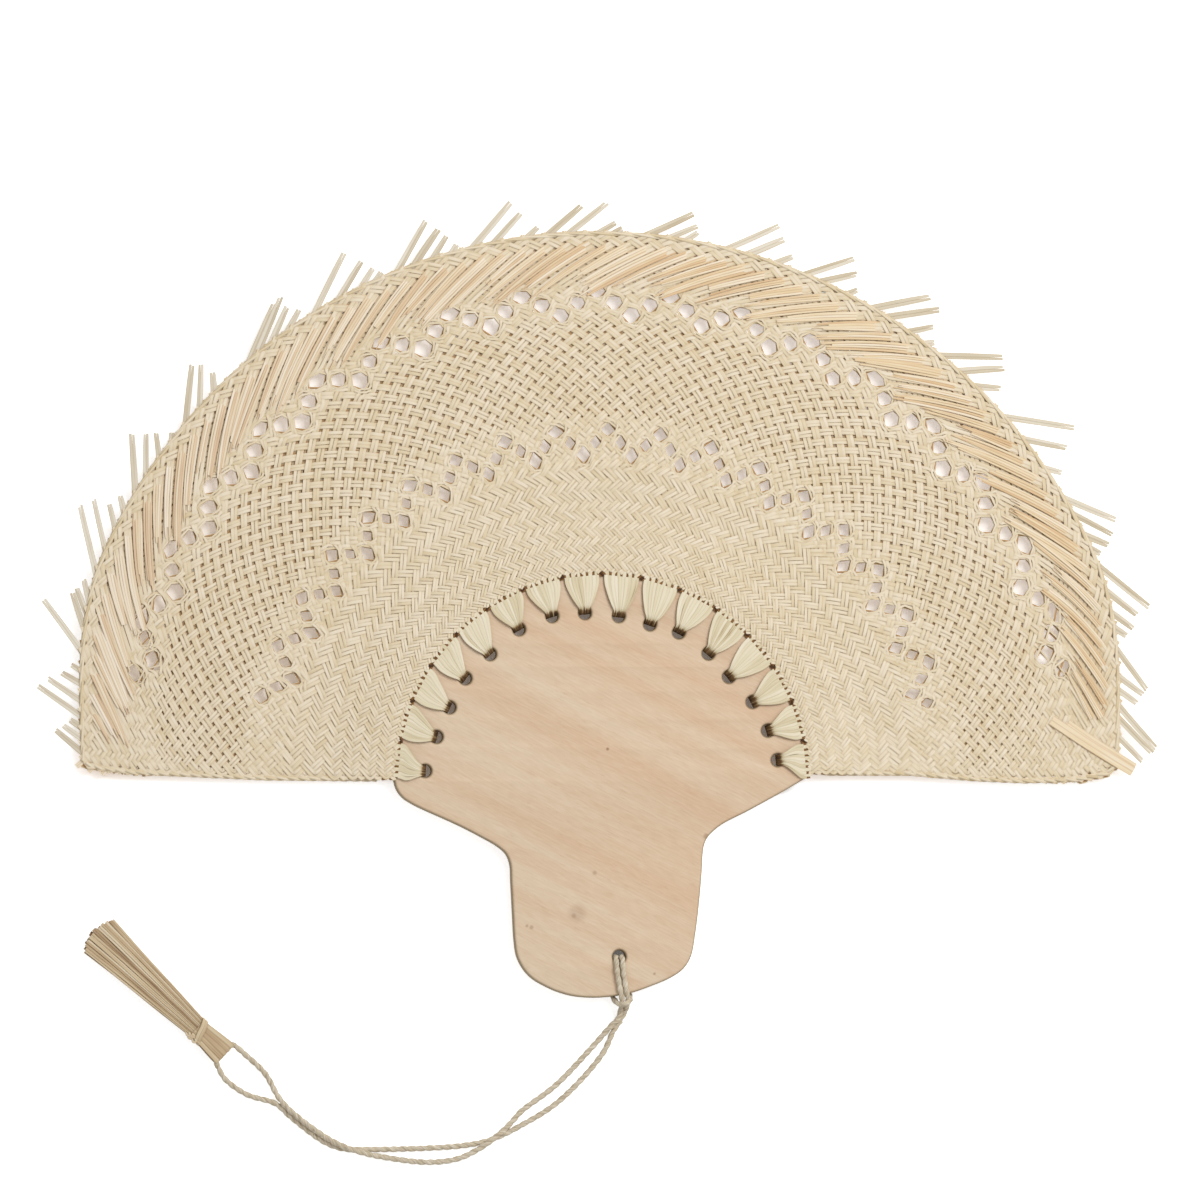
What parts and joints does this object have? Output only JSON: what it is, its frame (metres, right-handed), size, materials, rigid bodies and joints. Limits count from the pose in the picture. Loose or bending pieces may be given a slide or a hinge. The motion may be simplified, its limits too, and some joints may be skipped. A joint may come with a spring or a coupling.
{
  "type": "palm leaf hand fan",
  "caption": "Half-round woven palm straw fan laced to a flat wooden grip board, with a fringed rim, a cord wrist strap and a straw tassel.",
  "frame": {"origin": "centre of the board's half-round head, on the board's flat back face", "axes": "+X to the right along the blade's two selvages, +Y from the grip towards the rim, +Z out of the front, up off the table it lies on"},
  "size_m": [0.4529, 0.3844, 0.0098],
  "materials": {
    "beech": "sanded, matt",
    "straw": "natural palm straw, slight sheen",
    "straw_ends": "natural golden straw",
    "twine": "twisted natural twine, matt",
    "tassel_straw": "flat palm strips, slight sheen"
  },
  "bodies": {
    "fan": {"handle_board": "beech", "woven_blade": "straw", "strand_bundle_01": "straw", "strand_bundle_02": "straw", "strand_bundle_03": "straw", "strand_bundle_04": "straw", "strand_bundle_05": "straw", "strand_bundle_06": "straw", "strand_bundle_07": "straw", "strand_bundle_08": "straw", "strand_bundle_09": "straw", "strand_bundle_10": "straw", "strand_bundle_11": "straw", "strand_bundle_12": "straw", "strand_bundle_13": "straw", "strand_bundle_14": "straw", "strand_bundle_15": "straw", "strand_bundle_16": "straw", "seam_twine_front": "straw", "seam_twine_back": "straw", "rim_tuft_01": "straw_ends", "rim_tuft_02": "straw_ends", "rim_tuft_03": "straw_ends", "rim_tuft_04": "straw_ends", "rim_tuft_05": "straw_ends", "rim_tuft_06": "straw_ends", "rim_tuft_07": "straw_ends", "rim_tuft_08": "straw_ends", "rim_tuft_09": "straw_ends", "rim_tuft_10": "straw_ends", "rim_tuft_11": "straw_ends", "rim_tuft_12": "straw_ends", "rim_tuft_13": "straw_ends", "rim_tuft_14": "straw_ends", "rim_tuft_15": "straw_ends", "rim_tuft_16": "straw_ends", "rim_tuft_17": "straw_ends", "rim_tuft_18": "straw_ends", "rim_tuft_19": "straw_ends", "rim_tuft_20": "straw_ends", "rim_tuft_21": "straw_ends", "hitch_cord": "twine"},
    "strap": {"strap_upper_leg": "twine", "strap_bight": "twine", "strap_lower_leg": "twine"},
    "tassel": {"tassel_head": "tassel_straw", "tassel_binding": "tassel_straw", "tassel_skirt": "tassel_straw"}
  },
  "joints": [
    {"name": "strap_swing", "type": "hinge", "parent": "fan", "child": "strap", "pos_m": [0.0076, -0.0948, 0], "axis": [0, 0, 1], "range_deg": [-10, 120]},
    {"name": "tassel_swing", "type": "hinge", "parent": "strap", "child": "tassel", "pos_m": [-0.1514, -0.1088, 0.0006], "axis": [0.6833, 0.7302, 0], "range_deg": [0, 100]}
  ]
}
